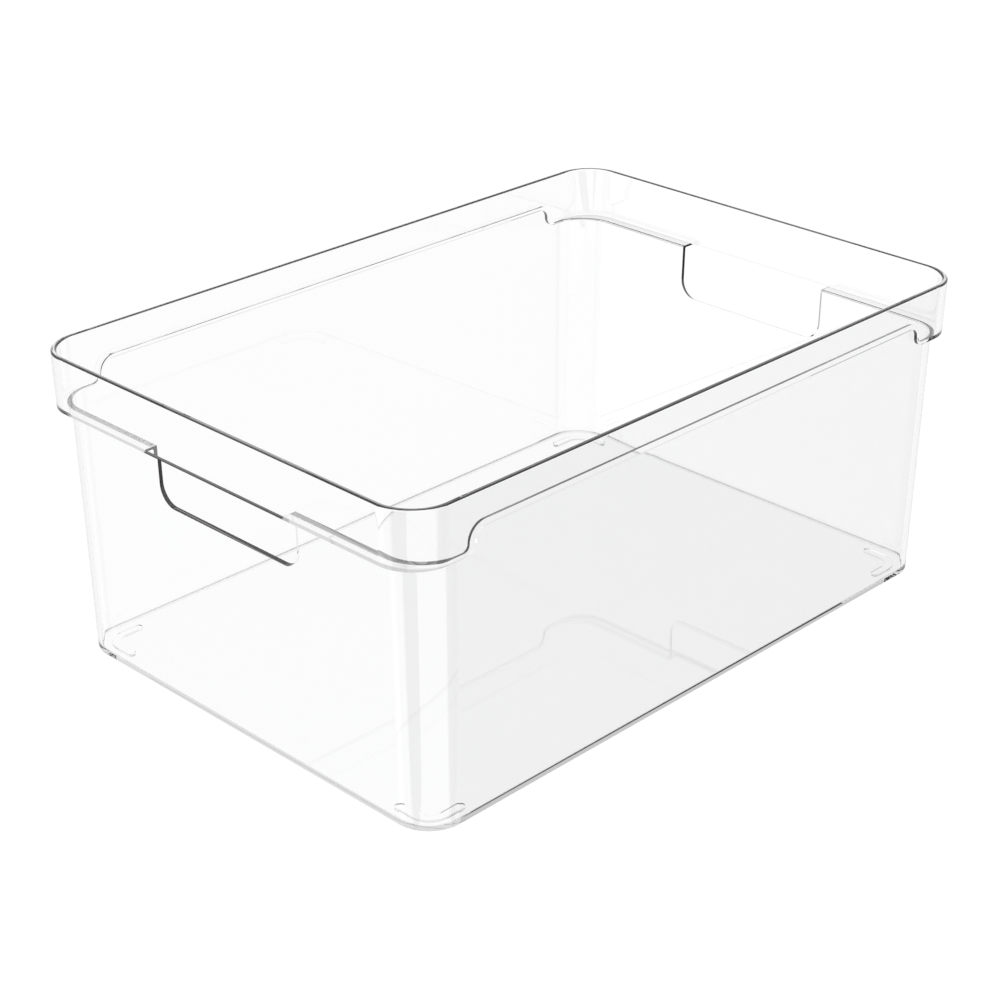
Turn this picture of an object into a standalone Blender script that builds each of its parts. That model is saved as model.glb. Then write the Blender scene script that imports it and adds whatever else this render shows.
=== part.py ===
"""Clear open-top storage bin, moulded in one piece.

The bin is a tapered tub with a wider band round its mouth. The band starts low
at both ends, where it forms a ledge with a hand hole under it, and high along
both sides, and an S-shaped curve joins the two heights near each corner. Four
L-shaped ridges under the floor are its feet.

Frame: metres, +Z up, X along the length, the origin on the surface that the
bin stands on, under the middle of the mouth.
"""
import math

import bmesh
import bpy

# Overall sizes, outside
LENGTH = 0.3400
WIDTH = 0.2280
RIM_HEIGHT = 0.1440
WALL = 0.0018
BAND_WALL = 0.0024
FLOOR_THICKNESS = 0.0020

# Band round the mouth, deepest at the ends and less deep by the rise along the sides
BAND_DRAFT = math.radians(1.17)
RIM_CORNER_RADIUS = 0.0189
RIM_EDGE_RADIUS = 0.0009
BAND_DEPTH = 0.0252
STEP_RISE = 0.0096
CURVE_MIDDLE_FROM_END = 0.0330
LEDGE_THICKNESS = 0.0011
SIDE_THICKNESS = 0.0022
CURVE_THICKNESS = 0.0026
LEDGE_ROOT_RADIUS = 0.0007
LEDGE_HEIGHT = RIM_HEIGHT - BAND_DEPTH
SIDE_STEP_HEIGHT = LEDGE_HEIGHT + STEP_RISE

# Tub under the band
END_LEDGE = 0.0063
SIDE_STEP = 0.0017
END_DRAFT = math.radians(1.33)
SIDE_DRAFT = math.radians(0.76)
TUB_CORNER_RADIUS = 0.0182
BASE_CORNER_RADIUS = 0.0167
BASE_EDGE_RADIUS = 0.0005
INNER_EDGE_RADIUS = 0.0008

# Hand holes, one in each end
HOLE_WIDTH = 0.0844
HOLE_DEPTH = 0.0245
HOLE_CORNER_RADIUS = 0.0085
HOLE_SLANT = math.radians(19.8)

# Feet, one L-shaped ridge at each corner of the floor
FOOT_HEIGHT = 0.0012
FOOT_WIDTH = 0.0036
FOOT_INSET = 0.0070
FOOT_ARM = 0.0100
FOOT_EDGE = 0.0003

# How far a cut runs past the face that it opens
OVERRUN = 0.0020

CORNER_SEGMENTS = 9
CURVE_SEGMENTS = 8
HOLE_SEGMENTS = 8
EDGE_SEGMENTS = 3
CAP_SEGMENTS = 6

CLEAR_COLOUR = (0.93, 0.95, 0.95, 1.0)
CLEAR_ROUGHNESS = 0.04
CLEAR_ALPHA = 0.25
CLEAR_IOR = 1.5


def band_half_sizes(height):
    """Half length and half width of the band's outer face at a height."""
    inward = math.tan(BAND_DRAFT) * (RIM_HEIGHT - height)
    return LENGTH / 2 - inward, WIDTH / 2 - inward


def tub_half_sizes(height):
    """Half length and half width of the tub's outer face at a height."""
    half_length, half_width = band_half_sizes(LEDGE_HEIGHT)
    down = LEDGE_HEIGHT - height
    half_length -= END_LEDGE + math.tan(END_DRAFT) * down
    half_width -= SIDE_STEP + math.tan(SIDE_DRAFT) * down
    return half_length, half_width


def tub_corner_radius(height):
    """Corner radius of the tub's outer face, smaller towards the floor."""
    share = (height - FOOT_HEIGHT) / (LEDGE_HEIGHT - FOOT_HEIGHT)
    return BASE_CORNER_RADIUS + (TUB_CORNER_RADIUS - BASE_CORNER_RADIUS) * share


def band_section(height, offset):
    """Outline of the band at a height, moved outwards by an offset."""
    half_length, half_width = band_half_sizes(height)
    radius = RIM_CORNER_RADIUS - math.tan(BAND_DRAFT) * (RIM_HEIGHT - height)
    return rounded_rectangle(half_length + offset, half_width + offset, radius + offset, height)


def tub_section(height, offset, at_ends=0):
    """Outline of the tub at a height, moved outwards by an offset, and at its ends by more."""
    half_length, half_width = tub_half_sizes(height)
    radius = tub_corner_radius(height) + offset + at_ends / 2
    return rounded_rectangle(half_length + offset + at_ends, half_width + offset, radius, height)


def rounded_rectangle(half_length, half_width, radius, height):
    """Points round a rectangle with round corners, from the +X +Y corner on."""
    points = []
    for corner, (sign_x, sign_y) in enumerate(((1, 1), (-1, 1), (-1, -1), (1, -1))):
        centre_x = sign_x * (half_length - radius)
        centre_y = sign_y * (half_width - radius)
        for step in range(CORNER_SEGMENTS + 1):
            angle = math.radians(90) * (corner + step / CORNER_SEGMENTS)
            x = centre_x + radius * math.cos(angle)
            y = centre_y + radius * math.sin(angle)
            points.append((x, y, height))
    return points


def loft(bm, sections):
    """Join closed sections with the same count of points into one solid."""
    rings = [[bm.verts.new(point) for point in section] for section in sections]
    count = len(rings[0])
    for low, high in zip(rings, rings[1:]):
        for index in range(count):
            following = (index + 1) % count
            bm.faces.new((low[index], low[following], high[following], high[index]))
    bm.faces.new(list(reversed(rings[0])))
    bm.faces.new(rings[-1])


def mesh_object(name, bm):
    """Turn a bmesh into an object with its faces pointing out."""
    bmesh.ops.recalc_face_normals(bm, faces=bm.faces[:])
    mesh = bpy.data.meshes.new(name)
    bm.to_mesh(mesh)
    bm.free()
    obj = bpy.data.objects.new(name, mesh)
    bpy.context.collection.objects.link(obj)
    return obj


def tool(obj):
    """Mark an object as one that only shapes another."""
    obj.hide_render = True
    obj.display_type = "WIRE"
    return obj


def combine(obj, other, operation):
    """Add an exact Boolean of another object to an object."""
    modifier = obj.modifiers.new(operation.title() + " " + other.name, "BOOLEAN")
    modifier.operation = operation
    modifier.solver = "EXACT"
    modifier.object = other


def tub_outside():
    """Outer body of the tub, from its lower edge to the small round under the ledge and on up."""
    bm = bmesh.new()
    sections = []
    for step in range(EDGE_SEGMENTS):
        angle = math.radians(90) * step / EDGE_SEGMENTS
        inward = BASE_EDGE_RADIUS * (1 - math.sin(angle))
        height = FOOT_HEIGHT + BASE_EDGE_RADIUS * (1 - math.cos(angle))
        sections.append(tub_section(height, -inward))
    sections.append(tub_section(FOOT_HEIGHT + BASE_EDGE_RADIUS, 0))
    for step in range(EDGE_SEGMENTS + 1):
        angle = math.radians(90) * step / EDGE_SEGMENTS
        outward = LEDGE_ROOT_RADIUS * (1 - math.cos(angle))
        height = LEDGE_HEIGHT - LEDGE_ROOT_RADIUS * (1 - math.sin(angle))
        sections.append(tub_section(height, 0, outward))
    sections.append(tub_section(SIDE_STEP_HEIGHT + SIDE_THICKNESS / 2, 0, LEDGE_ROOT_RADIUS))
    loft(bm, sections)
    return mesh_object("bin", bm)


def tub_inside():
    """Space inside the tub, from the floor up into the band's space."""
    bm = bmesh.new()
    floor = FOOT_HEIGHT + FLOOR_THICKNESS
    sections = []
    for step in range(EDGE_SEGMENTS):
        angle = math.radians(90) * step / EDGE_SEGMENTS
        inward = INNER_EDGE_RADIUS * (1 - math.sin(angle))
        height = floor + INNER_EDGE_RADIUS * (1 - math.cos(angle))
        sections.append(tub_section(height, -WALL - inward))
    sections.append(tub_section(floor + INNER_EDGE_RADIUS, -WALL))
    sections.append(tub_section(LEDGE_HEIGHT + LEDGE_THICKNESS, -WALL))
    sections.append(tub_section(SIDE_STEP_HEIGHT + SIDE_THICKNESS + OVERRUN / 2, -WALL))
    loft(bm, sections)
    return tool(mesh_object("inside", bm))


def band_outside():
    """Outer body of the band, with a small round at the rim."""
    bm = bmesh.new()
    sections = [band_section(LEDGE_HEIGHT - OVERRUN, 0)]
    for step in range(EDGE_SEGMENTS + 1):
        angle = math.radians(90) * step / EDGE_SEGMENTS
        inward = RIM_EDGE_RADIUS * (1 - math.cos(angle))
        height = RIM_HEIGHT - RIM_EDGE_RADIUS * (1 - math.sin(angle))
        sections.append(band_section(height, -inward))
    loft(bm, sections)
    return tool(mesh_object("band outside", bm))


def band_inside():
    """Space inside the band, open upwards, with a small round at the rim."""
    bm = bmesh.new()
    sections = [band_section(LEDGE_HEIGHT - OVERRUN, -BAND_WALL)]
    for step in range(EDGE_SEGMENTS + 1):
        angle = math.radians(90) * step / EDGE_SEGMENTS
        outward = RIM_EDGE_RADIUS * (1 - math.cos(angle))
        height = RIM_HEIGHT - RIM_EDGE_RADIUS * (1 - math.sin(angle))
        sections.append(band_section(height, outward - BAND_WALL))
    half_length, half_width = band_half_sizes(RIM_HEIGHT)
    inward = BAND_WALL - RIM_EDGE_RADIUS
    sections.append(
        rounded_rectangle(
            half_length - inward, half_width - inward, RIM_CORNER_RADIUS - inward, RIM_HEIGHT + OVERRUN
        )
    )
    loft(bm, sections)
    return tool(mesh_object("band inside", bm))


def under_band(name, low, high, outward):
    """Block under the band, low at the ends and high between them, its S curves moved outwards."""
    rise = (high - low) / 2
    middle_x = LENGTH / 2 - CURVE_MIDDLE_FROM_END
    outer = rise - outward
    inner = rise + outward
    curve = []
    for step in range(CURVE_SEGMENTS + 1):
        angle = math.radians(90) * step / CURVE_SEGMENTS
        x = middle_x + rise - outer * math.sin(angle)
        curve.append((x, low + outer - outer * math.cos(angle)))
    for step in range(1, CURVE_SEGMENTS + 1):
        angle = math.radians(90) * step / CURVE_SEGMENTS
        x = middle_x - rise + inner * math.cos(angle)
        curve.append((x, high - inner + inner * math.sin(angle)))
    end_x = LENGTH / 2 + OVERRUN
    bottom = LEDGE_HEIGHT - 2 * OVERRUN
    outline = [(end_x, bottom), (end_x, low)] + curve
    outline += [(-x, z) for x, z in reversed(curve)] + [(-end_x, low), (-end_x, bottom)]
    half_width = WIDTH / 2 + OVERRUN
    bm = bmesh.new()
    loft(bm, [[(x, y, z) for x, z in outline] for y in (-half_width, half_width)])
    return tool(mesh_object(name, bm))


def hole_outline(end_x, lowered):
    """Outline of a hand hole, its lower corners round and its top just over the ledge's underside."""
    half_width = HOLE_WIDTH / 2
    bottom = LEDGE_HEIGHT - HOLE_DEPTH - lowered
    centre_y = half_width - HOLE_CORNER_RADIUS
    centre_z = bottom + HOLE_CORNER_RADIUS
    top = LEDGE_HEIGHT + LEDGE_ROOT_RADIUS
    outline = [(half_width, top)]
    for step in range(HOLE_SEGMENTS + 1):
        angle = math.radians(90) * step / HOLE_SEGMENTS
        y = centre_y + HOLE_CORNER_RADIUS * math.cos(angle)
        outline.append((y, centre_z - HOLE_CORNER_RADIUS * math.sin(angle)))
    outline += [(-y, z) for y, z in reversed(outline)]
    return [(end_x, y, z) for y, z in outline]


def hand_holes():
    """Cutter for the holes in both end walls, its bottom slanting down outwards."""
    wall_x = tub_half_sizes(LEDGE_HEIGHT)[0]
    face_x = tub_half_sizes(LEDGE_HEIGHT - HOLE_DEPTH)[0] - WALL
    inner_x = face_x - OVERRUN
    outer_x = wall_x + (END_LEDGE - BAND_WALL) / 2
    slope = math.tan(HOLE_SLANT)
    bm = bmesh.new()
    for sign in (1, -1):
        inner = hole_outline(sign * inner_x, slope * (inner_x - face_x))
        outer = hole_outline(sign * outer_x, slope * (outer_x - face_x))
        loft(bm, [inner, outer])
    return tool(mesh_object("hand holes", bm))


def band_slants():
    """Wedges that slant the band's lower edge over both hand holes, upwards to the inside."""
    inner_x = tub_half_sizes(LEDGE_HEIGHT)[0] - WALL - OVERRUN
    outer_x = band_half_sizes(LEDGE_HEIGHT)[0]
    half_width = HOLE_WIDTH / 2
    bottom = LEDGE_HEIGHT - OVERRUN
    inner_top = LEDGE_HEIGHT + math.tan(HOLE_SLANT) * (outer_x - inner_x)
    bm = bmesh.new()
    for sign in (1, -1):
        outline = ((inner_x, bottom), (outer_x, bottom), (outer_x, LEDGE_HEIGHT), (inner_x, inner_top))
        loft(bm, [[(sign * x, y, z) for x, z in outline] for y in (-half_width, half_width)])
    return tool(mesh_object("band slants", bm))


def ledge_openings():
    """Block that leaves the ledge out over both hand holes."""
    inner_x = tub_half_sizes(LEDGE_HEIGHT)[0] - WALL - OVERRUN
    outer_x = LENGTH / 2 + 2 * OVERRUN
    half_width = HOLE_WIDTH / 2
    bm = bmesh.new()
    for sign in (1, -1):
        near_corners = ((inner_x, -half_width), (outer_x, -half_width))
        far_corners = ((outer_x, half_width), (inner_x, half_width))
        corners = near_corners + far_corners
        heights = (LEDGE_HEIGHT - 3 * OVERRUN, LEDGE_HEIGHT + LEDGE_THICKNESS + OVERRUN)
        loft(bm, [[(sign * x, y, z) for x, y in corners] for z in heights])
    return tool(mesh_object("ledge openings", bm))


def foot_outline(sign_x, sign_y, inset, height):
    """Outline of an L-shaped foot that follows the corner of the floor."""
    half_length, half_width = tub_half_sizes(FOOT_HEIGHT)
    centre_x = half_length - BASE_CORNER_RADIUS
    centre_y = half_width - BASE_CORNER_RADIUS
    middle = BASE_CORNER_RADIUS - FOOT_INSET - FOOT_WIDTH / 2
    half = FOOT_WIDTH / 2 - inset
    straight = FOOT_ARM - FOOT_WIDTH / 2
    quarter = math.radians(90)
    points = []
    for step in range(CORNER_SEGMENTS + 1):
        angle = quarter * step / CORNER_SEGMENTS
        points.append(((middle + half) * math.cos(angle), (middle + half) * math.sin(angle)))
    for step in range(CAP_SEGMENTS + 1):
        angle = quarter + 2 * quarter * step / CAP_SEGMENTS
        points.append((half * math.cos(angle) - straight, middle + half * math.sin(angle)))
    for step in range(CORNER_SEGMENTS + 1):
        angle = quarter * (1 - step / CORNER_SEGMENTS)
        points.append(((middle - half) * math.cos(angle), (middle - half) * math.sin(angle)))
    for step in range(CAP_SEGMENTS + 1):
        angle = 2 * quarter + 2 * quarter * step / CAP_SEGMENTS
        points.append((middle + half * math.cos(angle), half * math.sin(angle) - straight))
    return [(sign_x * (centre_x + x), sign_y * (centre_y + y), height) for x, y in points]


def feet():
    """The four feet, with a small bevel where they touch the ground."""
    bm = bmesh.new()
    for sign_x in (1, -1):
        for sign_y in (1, -1):
            sections = [
                foot_outline(sign_x, sign_y, FOOT_EDGE, 0),
                foot_outline(sign_x, sign_y, 0, FOOT_EDGE),
                foot_outline(sign_x, sign_y, 0, FOOT_HEIGHT + FLOOR_THICKNESS / 2),
            ]
            loft(bm, sections)
    return tool(mesh_object("feet", bm))


def clear_plastic():
    """Colourless see-through plastic with a glossy surface."""
    material = bpy.data.materials.new("clear plastic")
    material.use_nodes = True
    shader = material.node_tree.nodes["Principled BSDF"]
    shader.inputs["Base Color"].default_value = CLEAR_COLOUR
    shader.inputs["Roughness"].default_value = CLEAR_ROUGHNESS
    shader.inputs["Metallic"].default_value = 0.0
    shader.inputs["IOR"].default_value = CLEAR_IOR
    shader.inputs["Alpha"].default_value = CLEAR_ALPHA
    return material


def build_bin():
    """The whole moulding: tub and band, hollowed, with its holes and feet."""
    body = tub_outside()
    band = band_outside()
    combine(band, under_band("under band", LEDGE_HEIGHT, SIDE_STEP_HEIGHT, 0), "DIFFERENCE")
    combine(body, band, "UNION")

    over_ledge = LEDGE_HEIGHT + LEDGE_THICKNESS
    over_side = SIDE_STEP_HEIGHT + SIDE_THICKNESS
    ledge = under_band("over ledge", over_ledge, over_side, CURVE_THICKNESS)
    combine(ledge, ledge_openings(), "DIFFERENCE")
    mouth = band_inside()
    combine(mouth, ledge, "DIFFERENCE")
    inside = tub_inside()
    combine(inside, mouth, "UNION")
    combine(body, inside, "DIFFERENCE")

    combine(body, hand_holes(), "DIFFERENCE")
    combine(body, band_slants(), "DIFFERENCE")
    combine(body, feet(), "UNION")

    body.data.materials.append(clear_plastic())
    body.data.shade_smooth()
    body.data.set_sharp_from_angle(angle=math.radians(30))


for existing in list(bpy.data.objects):
    bpy.data.objects.remove(existing, do_unlink=True)
build_bin()
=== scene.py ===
import math

import bpy
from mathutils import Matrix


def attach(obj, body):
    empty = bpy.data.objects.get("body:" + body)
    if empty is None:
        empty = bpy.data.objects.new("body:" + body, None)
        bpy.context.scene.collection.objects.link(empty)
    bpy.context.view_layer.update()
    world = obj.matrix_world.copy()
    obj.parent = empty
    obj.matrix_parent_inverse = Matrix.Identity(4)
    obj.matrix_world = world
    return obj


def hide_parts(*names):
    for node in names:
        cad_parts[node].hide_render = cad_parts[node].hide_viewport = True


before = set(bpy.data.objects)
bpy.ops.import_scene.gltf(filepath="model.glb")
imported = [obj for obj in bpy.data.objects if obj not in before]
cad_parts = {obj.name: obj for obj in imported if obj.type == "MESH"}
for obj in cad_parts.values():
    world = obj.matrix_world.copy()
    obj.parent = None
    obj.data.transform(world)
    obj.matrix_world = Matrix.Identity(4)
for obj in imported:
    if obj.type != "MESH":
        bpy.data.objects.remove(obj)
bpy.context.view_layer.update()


# Tub of the bin. The real one is injection moulded in one shot from clear
# polystyrene: four drafted walls, round corners and a flat floor, with a small
# round along the lower edge. Length runs along X, and the floor stands on feet.
wall = 0.0018
floor_top = 0.0032
foot_height = 0.0012
rim_height = 0.1440
ledge_height = 0.1188
ledge_top = 0.1199
step_height = 0.1284
step_top = 0.1306
band_slope = math.tan(math.radians(1.17))
end_slope = math.tan(math.radians(1.33))
side_slope = math.tan(math.radians(0.76))
rim_half = (0.1700, 0.1140)
rim_radius = 0.0189
tub_radius = 0.0182
tub_radius_loss = 0.0015
end_ledge = 0.0063
side_step = 0.0017
base_round = 0.0005
root_round = 0.0007
inner_round = 0.0008
corner_steps = 24
base_steps = 8
edge_steps = 6
overlap = 0.0010
same_place = 0.00001


def band_size(z):
    """Half length, half width and corner radius of the band's outer face."""
    inward = band_slope * (rim_height - z)
    return rim_half[0] - inward, rim_half[1] - inward, rim_radius - inward


def tub_size(z):
    """Half length, half width and corner radius of the tub's outer face."""
    half_x, half_y, _ = band_size(ledge_height)
    down = ledge_height - z
    radius = tub_radius - tub_radius_loss * down / (ledge_height - foot_height)
    return half_x - end_ledge - end_slope * down, half_y - side_step - side_slope * down, radius


def grown(size, amount):
    """A cross-section moved outwards by an amount."""
    return tuple(value + amount for value in size)


def longer(size, amount):
    """A cross-section whose ends are moved outwards, and its sides not."""
    return size[0] + amount, size[1], size[2] + amount / 2


def quarter_turns(steps):
    """Angles from none to a right angle, in even steps, for a quarter round."""
    return [math.radians(90) * step / steps for step in range(steps + 1)]


def start_piece():
    """Leave edit mode and deselect everything, so that operators act on new work."""
    if bpy.context.object is not None and bpy.context.object.mode != "OBJECT":
        bpy.ops.object.mode_set(mode="OBJECT")
    bpy.ops.object.select_all(action="DESELECT")


def settle():
    """Move the place and scale of the new object into its mesh, and return it."""
    bpy.ops.object.transform_apply(location=True, rotation=True, scale=True)
    return bpy.context.object


def ring(half_x, half_y, radius, z):
    """A flat plate with round corners, as one cross-section of a wall."""
    start_piece()
    bpy.ops.mesh.primitive_plane_add(size=2, location=(0, 0, z))
    bpy.ops.transform.resize(value=(half_x, half_y, 1))
    plate = settle()
    bpy.ops.object.mode_set(mode="EDIT")
    bpy.ops.mesh.select_all(action="SELECT")
    bpy.ops.mesh.bevel(offset=radius, segments=corner_steps, affect="VERTICES")
    bpy.ops.object.mode_set(mode="OBJECT")
    return plate


def joined(pieces):
    """Join pieces into the first one."""
    start_piece()
    for piece in pieces:
        piece.select_set(True)
    bpy.context.view_layer.objects.active = pieces[0]
    bpy.ops.object.join()
    return bpy.context.object


def face_outwards():
    """In edit mode, turn all the faces of a closed shape outwards."""
    bpy.ops.mesh.select_all(action="SELECT")
    bpy.ops.mesh.normals_make_consistent(inside=False)


def bridged(name, plates):
    """Join plates in a stack, bridge their outlines and close both ends."""
    piece = joined(plates)
    piece.name = name
    bpy.ops.object.mode_set(mode="EDIT")
    bpy.ops.mesh.select_all(action="SELECT")
    bpy.ops.mesh.delete(type="ONLY_FACE")
    bpy.ops.mesh.select_all(action="SELECT")
    bpy.ops.mesh.bridge_edge_loops()
    bpy.ops.mesh.select_all(action="SELECT")
    bpy.ops.mesh.fill_holes(sides=0)
    face_outwards()
    bpy.ops.object.mode_set(mode="OBJECT")
    return piece


def carve(piece, other, operation):
    """Cut another solid out of a piece, or weld it on, and drop it."""
    start_piece()
    piece.select_set(True)
    bpy.context.view_layer.objects.active = piece
    bpy.ops.object.modifier_add(type="BOOLEAN")
    modifier = piece.modifiers[-1]
    modifier.operation = operation
    modifier.solver = "EXACT"
    modifier.object = other
    bpy.ops.object.modifier_apply(modifier=modifier.name)
    bpy.data.objects.remove(other, do_unlink=True)


outside = []
for turn in quarter_turns(base_steps):
    height = foot_height + base_round * (1 - math.cos(turn))
    outside.append(ring(*grown(tub_size(height), -base_round * (1 - math.sin(turn))), height))
for turn in quarter_turns(edge_steps):
    height = ledge_height - root_round * (1 - math.sin(turn))
    outside.append(ring(*longer(tub_size(height), root_round * (1 - math.cos(turn))), height))
outside.append(ring(*longer(tub_size(step_height + overlap), root_round), step_height + overlap))
bin_body = bridged("clear_bin", outside)

inside = []
for turn in quarter_turns(edge_steps):
    height = floor_top + inner_round * (1 - math.cos(turn))
    inside.append(ring(*grown(tub_size(height), -wall - inner_round * (1 - math.sin(turn))), height))
inside.append(ring(*grown(tub_size(ledge_top), -wall), ledge_top))
inside.append(ring(*grown(tub_size(step_top + overlap / 2), -wall), step_top + overlap / 2))
hollow = bridged("tub_hollow", inside)


# Band round the mouth, part of the same moulding. Its lower edge runs low at
# the ends, where it overhangs the tub as a ledge to lift by, and high along the
# sides, and an S of two quarter rounds joins the two heights near each corner.
band_wall = 0.0024
band_start = ledge_height - 0.0020
curve_middle = 0.1370
curve_offset = 0.0026
curve_steps = 16
rim_round = 0.0009
block_half = (0.1740, 0.1160)
block_depth = 0.0040
mouth_rise = 0.0040
facing_up = 0.9
nearly_whole = 0.9999


def choose(kind):
    """Clear the selection and set what is chosen next: vertices, edges or faces."""
    bpy.ops.object.mode_set(mode="EDIT")
    bpy.ops.mesh.select_mode(type=kind)
    bpy.ops.mesh.select_all(action="DESELECT")
    bpy.ops.object.mode_set(mode="OBJECT")


def select_edges(piece, wanted):
    """In edit mode, select the edges whose two ends are wanted."""
    choose("EDGE")
    for edge in piece.data.edges:
        a, b = (piece.data.vertices[index].co for index in edge.vertices)
        edge.select = wanted(a, b)
    bpy.ops.object.mode_set(mode="EDIT")


def select_faces(piece, wanted):
    """In edit mode, select the faces that are wanted."""
    choose("FACE")
    for face in piece.data.polygons:
        face.select = wanted(face)
    bpy.ops.object.mode_set(mode="EDIT")


def alike(first, second):
    """Whether two measures are the same, but for rounding."""
    return abs(first - second) < same_place


def add_block(low, high):
    """A solid block between its lowest and highest corners."""
    start_piece()
    middle = [(a + b) / 2 for a, b in zip(low, high)]
    bpy.ops.mesh.primitive_cube_add(size=2, location=middle)
    bpy.ops.transform.resize(value=[(b - a) / 2 for a, b in zip(low, high)])
    return settle()


def under_band(low, high, outward):
    """Block up to the band's lower edge, with the S curves as bevels of its steps."""
    middle = curve_middle + outward
    half_rise = (high - low) / 2
    bottom = ledge_height - block_depth
    block = add_block((-block_half[0], -block_half[1], bottom), (block_half[0], block_half[1], low))
    bpy.ops.object.mode_set(mode="EDIT")
    for side in (1, -1):
        bpy.ops.mesh.select_all(action="SELECT")
        bpy.ops.mesh.bisect(plane_co=(side * middle, 0, 0), plane_no=(1, 0, 0))
    select_faces(block, lambda face: face.normal.z > facing_up and abs(face.center.x) < middle / 2)
    bpy.ops.mesh.extrude_region_move(TRANSFORM_OT_translate={"value": (0, 0, high - low)})

    def on_step(a, b, level):
        """Whether an edge runs across the block along a step, at a level."""
        across = alike(a.x, b.x) and alike(a.z, b.z)
        return across and alike(abs(a.x), middle) and alike(a.z, level)

    for level, radius in ((low, half_rise - outward), (high, half_rise + outward)):
        select_edges(block, lambda a, b: on_step(a, b, level))
        width = radius * nearly_whole
        bpy.ops.mesh.bevel(offset=width, segments=curve_steps, affect="EDGES", clamp_overlap=False)
    bpy.ops.object.mode_set(mode="OBJECT")
    return block


def band_plates(offset, above):
    """Cross-sections of the band, with a quarter round at the rim."""
    plates = [ring(*grown(band_size(band_start), offset), band_start)]
    away = 1 if above else -1
    for turn in quarter_turns(edge_steps):
        height = rim_height - rim_round * (1 - math.sin(turn))
        size = grown(band_size(height), offset + away * rim_round * (1 - math.cos(turn)))
        plates.append(ring(*size, height))
    if above:
        plates.append(ring(*grown(band_size(rim_height), offset + rim_round), rim_height + mouth_rise))
    return plates


band = bridged("band", band_plates(0, False))
carve(band, under_band(ledge_height, step_height, 0), "DIFFERENCE")
carve(bin_body, band, "UNION")

mouth = bridged("mouth", band_plates(-band_wall, True))
ledge = under_band(ledge_top, step_top, curve_offset)


# Hand holes, one in each end wall right under the band. Slides in the mould shut
# off there, so the lower edge slants outwards and its corners are round. The ledge
# is left out over the hole, and the band's slanted edge hangs free above it.
hole_half = 0.0422
hole_bottom = 0.0943
hole_slant = 0.36
hole_radius = 0.0085
hole_middle = 0.1609
hole_half_depth = 0.0045
hole_overlap = 0.0007
gap_start = 0.1575
gap_below = 0.0060
gap_above = 0.0040
slant_start = 0.1600
slant_end = 0.16952
slant_middle = 0.1650


def select_vertices(piece, wanted):
    """In edit mode, select the vertices whose place is wanted."""
    choose("VERT")
    for vertex in piece.data.vertices:
        vertex.select = wanted(vertex.co)
    bpy.ops.object.mode_set(mode="EDIT")


def end_blocks(low, high, bottom, top):
    """Blocks as wide as the holes, at both ends, between two distances from the middle."""
    blocks = []
    for side in (1, -1):
        near, far = sorted((side * low, side * high))
        blocks.append(add_block((near, -hole_half, bottom), (far, hole_half, top)))
    return joined(blocks)


ledge_gap = end_blocks(gap_start, block_half[0], ledge_height - gap_below, ledge_height + gap_above)
carve(ledge, ledge_gap, "DIFFERENCE")
carve(mouth, ledge, "DIFFERENCE")
carve(hollow, mouth, "UNION")
carve(bin_body, hollow, "DIFFERENCE")

hole_inner = hole_middle - hole_half_depth
hole_outer = hole_middle + hole_half_depth
holes = end_blocks(hole_inner, hole_outer, hole_bottom, ledge_height + hole_overlap)
select_vertices(holes, lambda at: alike(at.z, hole_bottom) and abs(at.x) < hole_middle)
bpy.ops.transform.translate(value=(0, 0, hole_slant * hole_half_depth))
select_vertices(holes, lambda at: alike(at.z, hole_bottom) and abs(at.x) > hole_middle)
bpy.ops.transform.translate(value=(0, 0, -hole_slant * hole_half_depth))
lower_ends = hole_bottom + hole_half_depth
select_edges(holes, lambda a, b: alike(a.y, b.y) and not alike(a.x, b.x) and a.z < lower_ends)
bpy.ops.mesh.bevel(offset=hole_radius, segments=curve_steps, affect="EDGES")
bpy.ops.object.mode_set(mode="OBJECT")
carve(bin_body, holes, "DIFFERENCE")

slants = end_blocks(slant_start, slant_end, ledge_height - overlap, ledge_height)
select_vertices(slants, lambda at: alike(at.z, ledge_height) and abs(at.x) < slant_middle)
bpy.ops.transform.translate(value=(0, 0, hole_slant * (slant_end - slant_start)))
bpy.ops.object.mode_set(mode="OBJECT")
carve(bin_body, slants, "DIFFERENCE")


# Feet: four L-shaped ridges under the floor, moulded with it. Each follows the
# round of the floor's corner, has round ends, and lifts the floor by 1.2 mm.
foot_width = 0.0036
foot_inset = 0.0070
foot_arm = 0.0100
base_x, base_y, base_radius = tub_size(foot_height)
foot_radius = base_radius - foot_inset - foot_width / 2
foot_leg = foot_radius + foot_arm
end_reach = 0.0001
nearly_half = 0.4999


def upright(a, b):
    """Whether two points stand one above the other."""
    return alike(a.x, b.x) and alike(a.y, b.y)


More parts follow.
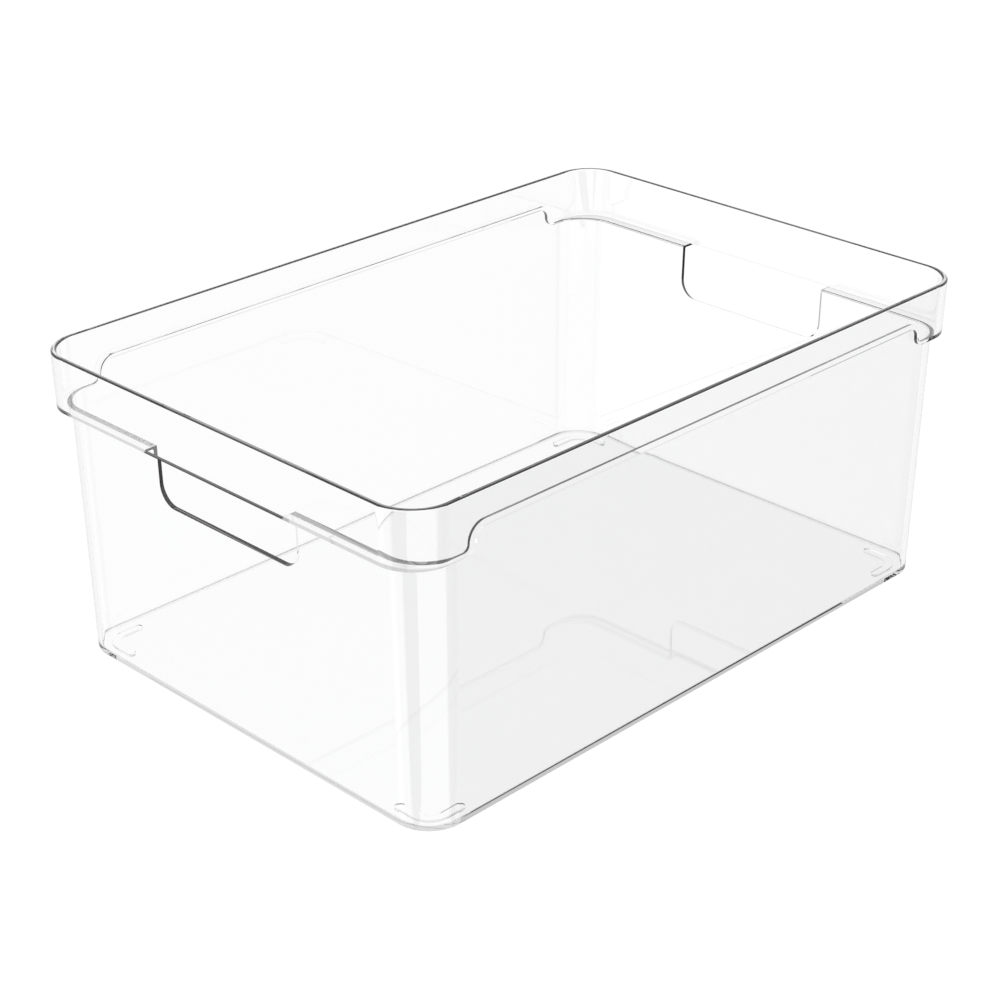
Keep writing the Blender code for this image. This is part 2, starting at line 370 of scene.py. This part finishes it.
def foot(side_x, side_y):
    """One foot: two sides of a square with a round corner, pulled up and thickened."""
    start_piece()
    corner_x = side_x * (base_x - foot_inset - foot_width / 2)
    corner_y = side_y * (base_y - foot_inset - foot_width / 2)
    middle_x = corner_x - side_x * foot_leg / 2
    middle_y = corner_y - side_y * foot_leg / 2
    bpy.ops.mesh.primitive_plane_add(size=foot_leg, location=(middle_x, middle_y, 0))
    ridge = settle()
    select_vertices(ridge, lambda at: abs(at.x) < abs(middle_x) and abs(at.y) < abs(middle_y))
    bpy.ops.mesh.delete(type="VERT")
    select_vertices(ridge, lambda at: abs(at.x) > abs(middle_x) and abs(at.y) > abs(middle_y))
    bpy.ops.mesh.bevel(offset=foot_radius, segments=curve_steps, affect="VERTICES")
    bpy.ops.mesh.select_all(action="SELECT")
    bpy.ops.mesh.extrude_region_move(TRANSFORM_OT_translate={"value": (0, 0, foot_height + overlap)})
    face_outwards()
    bpy.ops.object.mode_set(mode="OBJECT")
    bpy.ops.object.modifier_add(type="SOLIDIFY")
    thickness = ridge.modifiers[-1]
    thickness.thickness = foot_width
    thickness.offset = 0
    thickness.use_even_offset = True
    bpy.ops.object.modifier_apply(modifier=thickness.name)
    end_x = abs(corner_x) - foot_leg + end_reach
    end_y = abs(corner_y) - foot_leg + end_reach
    select_edges(ridge, lambda a, b: upright(a, b) and (abs(a.x) < end_x or abs(a.y) < end_y))
    bpy.ops.mesh.bevel(offset=foot_width * nearly_half, segments=curve_steps, affect="EDGES")
    face_outwards()
    bpy.ops.object.mode_set(mode="OBJECT")
    return ridge


for side_x in (1, -1):
    for side_y in (1, -1):
        carve(bin_body, foot(side_x, side_y), "UNION")


# Finish of the moulding: every sharp edge has a small round from the mould, and
# the walls are flat and glossy between them. The clear polystyrene has faint flow
# marks from the mould, and the soles of the feet are slightly dulled by use.
merge_distance = 0.00001
flat_angle = math.radians(0.2)
sharp_angle = math.radians(40)
smooth_angle = math.radians(35)
edge_round = 0.0003
refraction = 1.59
flow_scale = 9.0
flow_tints = ((0.35, (0.996, 0.998, 0.998, 1.0)), (0.65, (1.0, 1.0, 1.0, 1.0)))
scuff_scale = 900.0
sole_height = foot_height / 4
sole_roughness = 0.04

start_piece()
bin_body.select_set(True)
bpy.context.view_layer.objects.active = bin_body
bpy.ops.object.mode_set(mode="EDIT")
bpy.ops.mesh.select_all(action="SELECT")
bpy.ops.mesh.remove_doubles(threshold=merge_distance)
bpy.ops.mesh.dissolve_limited(angle_limit=flat_angle)
bpy.ops.object.mode_set(mode="OBJECT")
bpy.ops.object.modifier_add(type="BEVEL")
rounding = bin_body.modifiers[-1]
rounding.width = edge_round
rounding.segments = 2
rounding.limit_method = "ANGLE"
rounding.angle_limit = sharp_angle
rounding.use_clamp_overlap = True
bpy.ops.object.modifier_apply(modifier=rounding.name)
bpy.ops.object.shade_smooth_by_angle(angle=smooth_angle)
bpy.ops.object.modifier_add(type="WEIGHTED_NORMAL")
flat_walls = bin_body.modifiers[-1]
flat_walls.keep_sharp = True
flat_walls.weight = 100
bpy.ops.object.modifier_apply(modifier=flat_walls.name)


def node_maths(tree, operation, first, second=0.0, third=0.0):
    """A maths node; each input is a number or another node's output."""
    node = tree.nodes.new("ShaderNodeMath")
    node.operation = operation
    for socket, value in zip(node.inputs, (first, second, third)):
        if isinstance(value, (int, float)):
            socket.default_value = value
        else:
            tree.links.new(value, socket)
    return node.outputs["Value"]


def noise(tree, place, scale, detail):
    """A noise pattern fixed to the piece."""
    node = tree.nodes.new("ShaderNodeTexNoise")
    node.inputs["Scale"].default_value = scale
    node.inputs["Detail"].default_value = detail
    tree.links.new(place, node.inputs["Vector"])
    return node.outputs["Fac"]


def split_place(tree, place):
    """Outputs for the X, Y and Z of a place or direction."""
    node = tree.nodes.new("ShaderNodeSeparateXYZ")
    tree.links.new(place, node.inputs["Vector"])
    return node.outputs


clear = bpy.data.materials.new("clear_polystyrene")
clear.use_nodes = True
plastic = clear.node_tree
shader = plastic.nodes["Principled BSDF"]
shader.inputs["Transmission Weight"].default_value = 1.0
shader.inputs["IOR"].default_value = refraction
on_bin = plastic.nodes.new("ShaderNodeTexCoord").outputs["Object"]
tint = plastic.nodes.new("ShaderNodeValToRGB")
for stop, (position, colour) in zip(tint.color_ramp.elements, flow_tints):
    stop.position = position
    stop.color = colour
plastic.links.new(noise(plastic, on_bin, flow_scale, 2.0), tint.inputs["Fac"])
plastic.links.new(tint.outputs["Color"], shader.inputs["Base Color"])
on_soles = node_maths(plastic, "LESS_THAN", split_place(plastic, on_bin)["Z"], sole_height)
scuffs = node_maths(plastic, "MULTIPLY", noise(plastic, on_bin, scuff_scale, 3.0), on_soles)
dulled = node_maths(plastic, "MULTIPLY", scuffs, sole_roughness)
plastic.links.new(dulled, shader.inputs["Roughness"])
bin_body.data.materials.clear()
bin_body.data.materials.append(clear)
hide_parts("bin")
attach(bin_body, "root")


# Floor: a plain white light table under the bin, made of lit white sheet. It is
# what makes the background white and keeps it free of a shadow.
table_size = 6
table_light = 1.02
black = (0.0, 0.0, 0.0, 1.0)
white = (1.0, 1.0, 1.0, 1.0)

start_piece()
bpy.ops.mesh.primitive_plane_add(size=table_size, location=(0, 0, 0))
table = settle()
table.name = "light_table"
glow = bpy.data.materials.new("white_table")
glow.use_nodes = True
table_shader = glow.node_tree.nodes["Principled BSDF"]
table_shader.inputs["Base Color"].default_value = black
table_shader.inputs["Specular IOR Level"].default_value = 0.0
table_shader.inputs["Roughness"].default_value = 1.0
table_shader.inputs["Emission Color"].default_value = white
table_shader.inputs["Emission Strength"].default_value = table_light
table.data.materials.append(glow)
table.visible_glossy = False
table.visible_transmission = False


# Dark cards that lie flat on the table: painted reflections, sheets that glow a faint
# grey and that only reflections show. One in front of the end and one in front of the
# side paint the grey shade of the front corner and the walls, and each is cut to a
# corner that points at the bin.
card_lift = 0.0001
painted_reflection_light = 0.08
side_point = (-0.1470, -0.1105)
side_bearings = (191, 43.5)
side_low = (-0.20, -0.60)
side_high = (0.30, side_point[1])
end_point = (-0.1588, -0.1010)
end_bearings = (82, 300)
end_low = (-0.60, -0.40)
end_high = (-0.155, -0.02)


def mirrored_only(name, light, mirrors):
    """Painted reflection: a material that glows and shows only after more than a number of reflections,
    and is clear to every other ray.
    """
    material = bpy.data.materials.new(name)
    material.use_nodes = True
    tree = material.node_tree
    tree.nodes.clear()
    lit = tree.nodes.new("ShaderNodeEmission")
    lit.inputs["Strength"].default_value = light
    clear_view = tree.nodes.new("ShaderNodeBsdfTransparent")
    light_path = tree.nodes.new("ShaderNodeLightPath")
    mirrored = node_maths(tree, "GREATER_THAN", light_path.outputs["Glossy Depth"], mirrors + 0.5)
    choice = tree.nodes.new("ShaderNodeMixShader")
    tree.links.new(mirrored, choice.inputs["Fac"])
    tree.links.new(clear_view.outputs["BSDF"], choice.inputs[1])
    tree.links.new(lit.outputs["Emission"], choice.inputs[2])
    output = tree.nodes.new("ShaderNodeOutputMaterial")
    tree.links.new(choice.outputs["Shader"], output.inputs["Surface"])
    return material


def lay_card(flat, name, material):
    """Name a card, give it its material and keep it out of the camera's direct view."""
    flat.name = name
    flat.data.materials.append(material)
    flat.visible_camera = False


def pointed_card(name, low, high, point, bearings, material):
    """A card from corner to corner, with edges through a point cut at bearings."""
    start_piece()
    middle = ((low[0] + high[0]) / 2, (low[1] + high[1]) / 2, card_lift)
    bpy.ops.mesh.primitive_plane_add(size=2, location=middle)
    bpy.ops.transform.resize(value=((high[0] - low[0]) / 2, (high[1] - low[1]) / 2, 1))
    flat = settle()
    bpy.ops.object.mode_set(mode="EDIT")
    for bearing in bearings:
        across = (math.cos(math.radians(bearing)), math.sin(math.radians(bearing)), 0)
        bpy.ops.mesh.select_all(action="SELECT")
        bpy.ops.mesh.bisect(plane_co=(point[0], point[1], 0), plane_no=across, clear_outer=True)
    bpy.ops.object.mode_set(mode="OBJECT")
    lay_card(flat, name, material)


# Painted reflection: a faint grey glow, seen only in reflections, that paints the walls' grey shade.
dark_reflection_paint = mirrored_only("painted_dark_reflection", painted_reflection_light, 0)
pointed_card("front_painted_reflection", side_low, side_high, side_point, side_bearings, dark_reflection_paint)
pointed_card("left_painted_reflection", end_low, end_high, end_point, end_bearings, dark_reflection_paint)


# Seat card: a narrow frame under the edge of the base that paints shade. It glows
# grey and is clear to every ray but the light that has run down inside the walls by
# many reflections, and its painted shade is darkest along the near side and lightest
# along the far one.
guided_mirrors = 12
seat_ends = 0.38
seat_near = 0.10
seat_far = 0.60
seat_out = 0.0030
seat_width = 0.0075
seat_near_line = 0.0040 - base_y
seat_far_line = base_y - 0.0060


def near_and_rest(tree, near_line, near_light, rest_light):
    """The place across the bin, and a light that differs along the near side."""
    across = split_place(tree, tree.nodes.new("ShaderNodeTexCoord").outputs["Object"])["Y"]
    past_near = node_maths(tree, "GREATER_THAN", across, near_line)
    return across, node_maths(tree, "MULTIPLY_ADD", past_near, rest_light - near_light, near_light)


# Painted shade under the base's edge, seen only after many reflections and set by the side of the bin.
seat_shade_paint = mirrored_only("painted_seat_shade", seat_ends, guided_mirrors)
seat_tree = seat_shade_paint.node_tree
seat_across, seat_level = near_and_rest(seat_tree, seat_near_line, seat_near, seat_ends)
seat_back = node_maths(seat_tree, "GREATER_THAN", seat_across, seat_far_line)
seat_level = node_maths(seat_tree, "MULTIPLY_ADD", seat_back, seat_far - seat_ends, seat_level)
seat_tree.links.new(seat_level, seat_tree.nodes["Emission"].inputs["Strength"])
seat = ring(base_x + seat_out, base_y + seat_out, base_radius + seat_out, card_lift)
bpy.ops.object.mode_set(mode="EDIT")
bpy.ops.mesh.select_all(action="SELECT")
bpy.ops.mesh.inset(thickness=seat_width)
bpy.ops.mesh.delete(type="FACE")
bpy.ops.object.mode_set(mode="OBJECT")
lay_card(seat, "painted_seat_shade", seat_shade_paint)


# Edge strip: painted shade, a glowing film that stands inside the thickness of the
# floor, along its edge, and that shows only after more than one reflection. It paints
# the light that the floor's edge passes a grey of its own, lighter at the ends, and
# nearly black for light that came down inside the walls.
strip_ends = 0.66
strip_near = 0.55
strip_guided = 0.04
strip_inset_ends = 0.0200
strip_inset_sides = 0.0112
strip_near_line = strip_inset_sides + 0.0010 - base_y
strip_clearance = 0.00005
strip_bottom = foot_height + strip_clearance
strip_rise = floor_top - foot_height - 2 * strip_clearance
strip_radius = base_radius - strip_inset_sides

# Painted grey shade inside the floor's edge, seen only after more than one reflection.
strip_shade_paint = mirrored_only("painted_edge_shade", strip_ends, 1)
strip_tree = strip_shade_paint.node_tree
_, strip_level = near_and_rest(strip_tree, strip_near_line, strip_near, strip_ends)
strip_mirrors = strip_tree.nodes.new("ShaderNodeLightPath").outputs["Glossy Depth"]
few_mirrors = node_maths(strip_tree, "LESS_THAN", strip_mirrors, guided_mirrors + 0.5)
strip_level = node_maths(strip_tree, "MULTIPLY_ADD", strip_level, few_mirrors, strip_guided)
strip_tree.links.new(strip_level, strip_tree.nodes["Emission"].inputs["Strength"])
strip = ring(base_x - strip_inset_ends, base_y - strip_inset_sides, strip_radius, strip_bottom)
bpy.ops.object.mode_set(mode="EDIT")
bpy.ops.mesh.select_all(action="SELECT")
bpy.ops.mesh.extrude_region_move(TRANSFORM_OT_translate={"value": (0, 0, strip_rise)})
select_faces(strip, lambda face: abs(face.normal.z) > facing_up)
bpy.ops.mesh.delete(type="FACE")
bpy.ops.object.mode_set(mode="OBJECT")
lay_card(strip, "painted_edge_shade", strip_shade_paint)


# Studio: soft white light from all round, as on a light table. What the clear
# walls mirror is less even: grey panels stand behind the bin and low on its right,
# with a brighter one low on its left. Light fades with each further reflection.
most_bounces = 64
kept_by_mirror = 0.75
ramp_light = 0.30
ramp_start = 314
ramp_gain = 0.013

world = bpy.data.worlds.new("studio")
bpy.context.scene.world = world
world.use_nodes = True
world.cycles.sampling_method = "NONE"
sky = world.node_tree
heading = split_place(sky, sky.nodes.new("ShaderNodeTexCoord").outputs["Generated"])
turn_around = node_maths(sky, "ARCTAN2", heading["Y"], heading["X"])
bearing = node_maths(sky, "WRAP", node_maths(sky, "DEGREES", turn_around), 360.0, 0.0)
height_angle = node_maths(sky, "DEGREES", node_maths(sky, "ARCSINE", heading["Z"]))
ramp = node_maths(sky, "MULTIPLY_ADD", bearing, ramp_gain, ramp_light - ramp_gain * ramp_start)
# A panel is its middle bearing, half width, middle height and half height, in
# degrees, and its light.
panels = (
    (45, 17, 40, 40, 0.84),
    (43, 11, 18.1, 3.1, 0.50),
    (143, 8, -25, 15, 1.30),
    (305.75, 7.75, -25, 20, 0.84),
    (315.2, 1.7, -15, 9.9, 0.84),
    (315.2, 1.7, -37.55, 12.45, ramp),
    (323.45, 6.55, -34, 16, ramp),
)
mirror_light = 1.0
for middle, half_width, middle_height, half_height, light in panels:
    across = node_maths(sky, "COMPARE", bearing, middle, half_width)
    upwards = node_maths(sky, "COMPARE", height_angle, middle_height, half_height)
    inside_panel = node_maths(sky, "MULTIPLY", across, upwards)
    change = node_maths(sky, "MULTIPLY", inside_panel, node_maths(sky, "SUBTRACT", light, mirror_light))
    mirror_light = node_maths(sky, "ADD", mirror_light, change)
mirrors = sky.nodes.new("ShaderNodeLightPath").outputs["Glossy Depth"]
further_mirrors = node_maths(sky, "SUBTRACT", mirrors, 1.0)
kept = node_maths(sky, "POWER", kept_by_mirror, further_mirrors)
mirror_light = node_maths(sky, "MULTIPLY", mirror_light, kept)
after_mirror = node_maths(sky, "GREATER_THAN", mirrors, 0.5)
less = node_maths(sky, "SUBTRACT", mirror_light, 1.0)
strength = node_maths(sky, "MULTIPLY_ADD", after_mirror, less, 1.0)
sky.links.new(strength, sky.nodes["Background"].inputs["Strength"])
sky.nodes["Background"].inputs["Color"].default_value = white
bpy.context.scene.view_settings.view_transform = "Standard"
bpy.context.scene.cycles.max_bounces = most_bounces
bpy.context.scene.cycles.glossy_bounces = most_bounces
bpy.context.scene.cycles.transmission_bounces = most_bounces


# Camera, at the photograph's viewing angle: a long lens on a tripod at the front
# left corner, looking down by 26 degrees.
camera_place = (-0.66842, -0.64839, 0.51348)
camera_tilt = math.radians(63.6665)
camera_heading = math.radians(-45.4606)
sensor_width = 36
focal_ratio = 2.3231
farthest_view = 20

bpy.ops.object.camera_add(location=camera_place, rotation=(camera_tilt, 0, camera_heading))
camera = bpy.context.object
camera.data.sensor_width = sensor_width
camera.data.lens = sensor_width * focal_ratio
camera.data.clip_end = farthest_view
bpy.context.scene.camera = camera
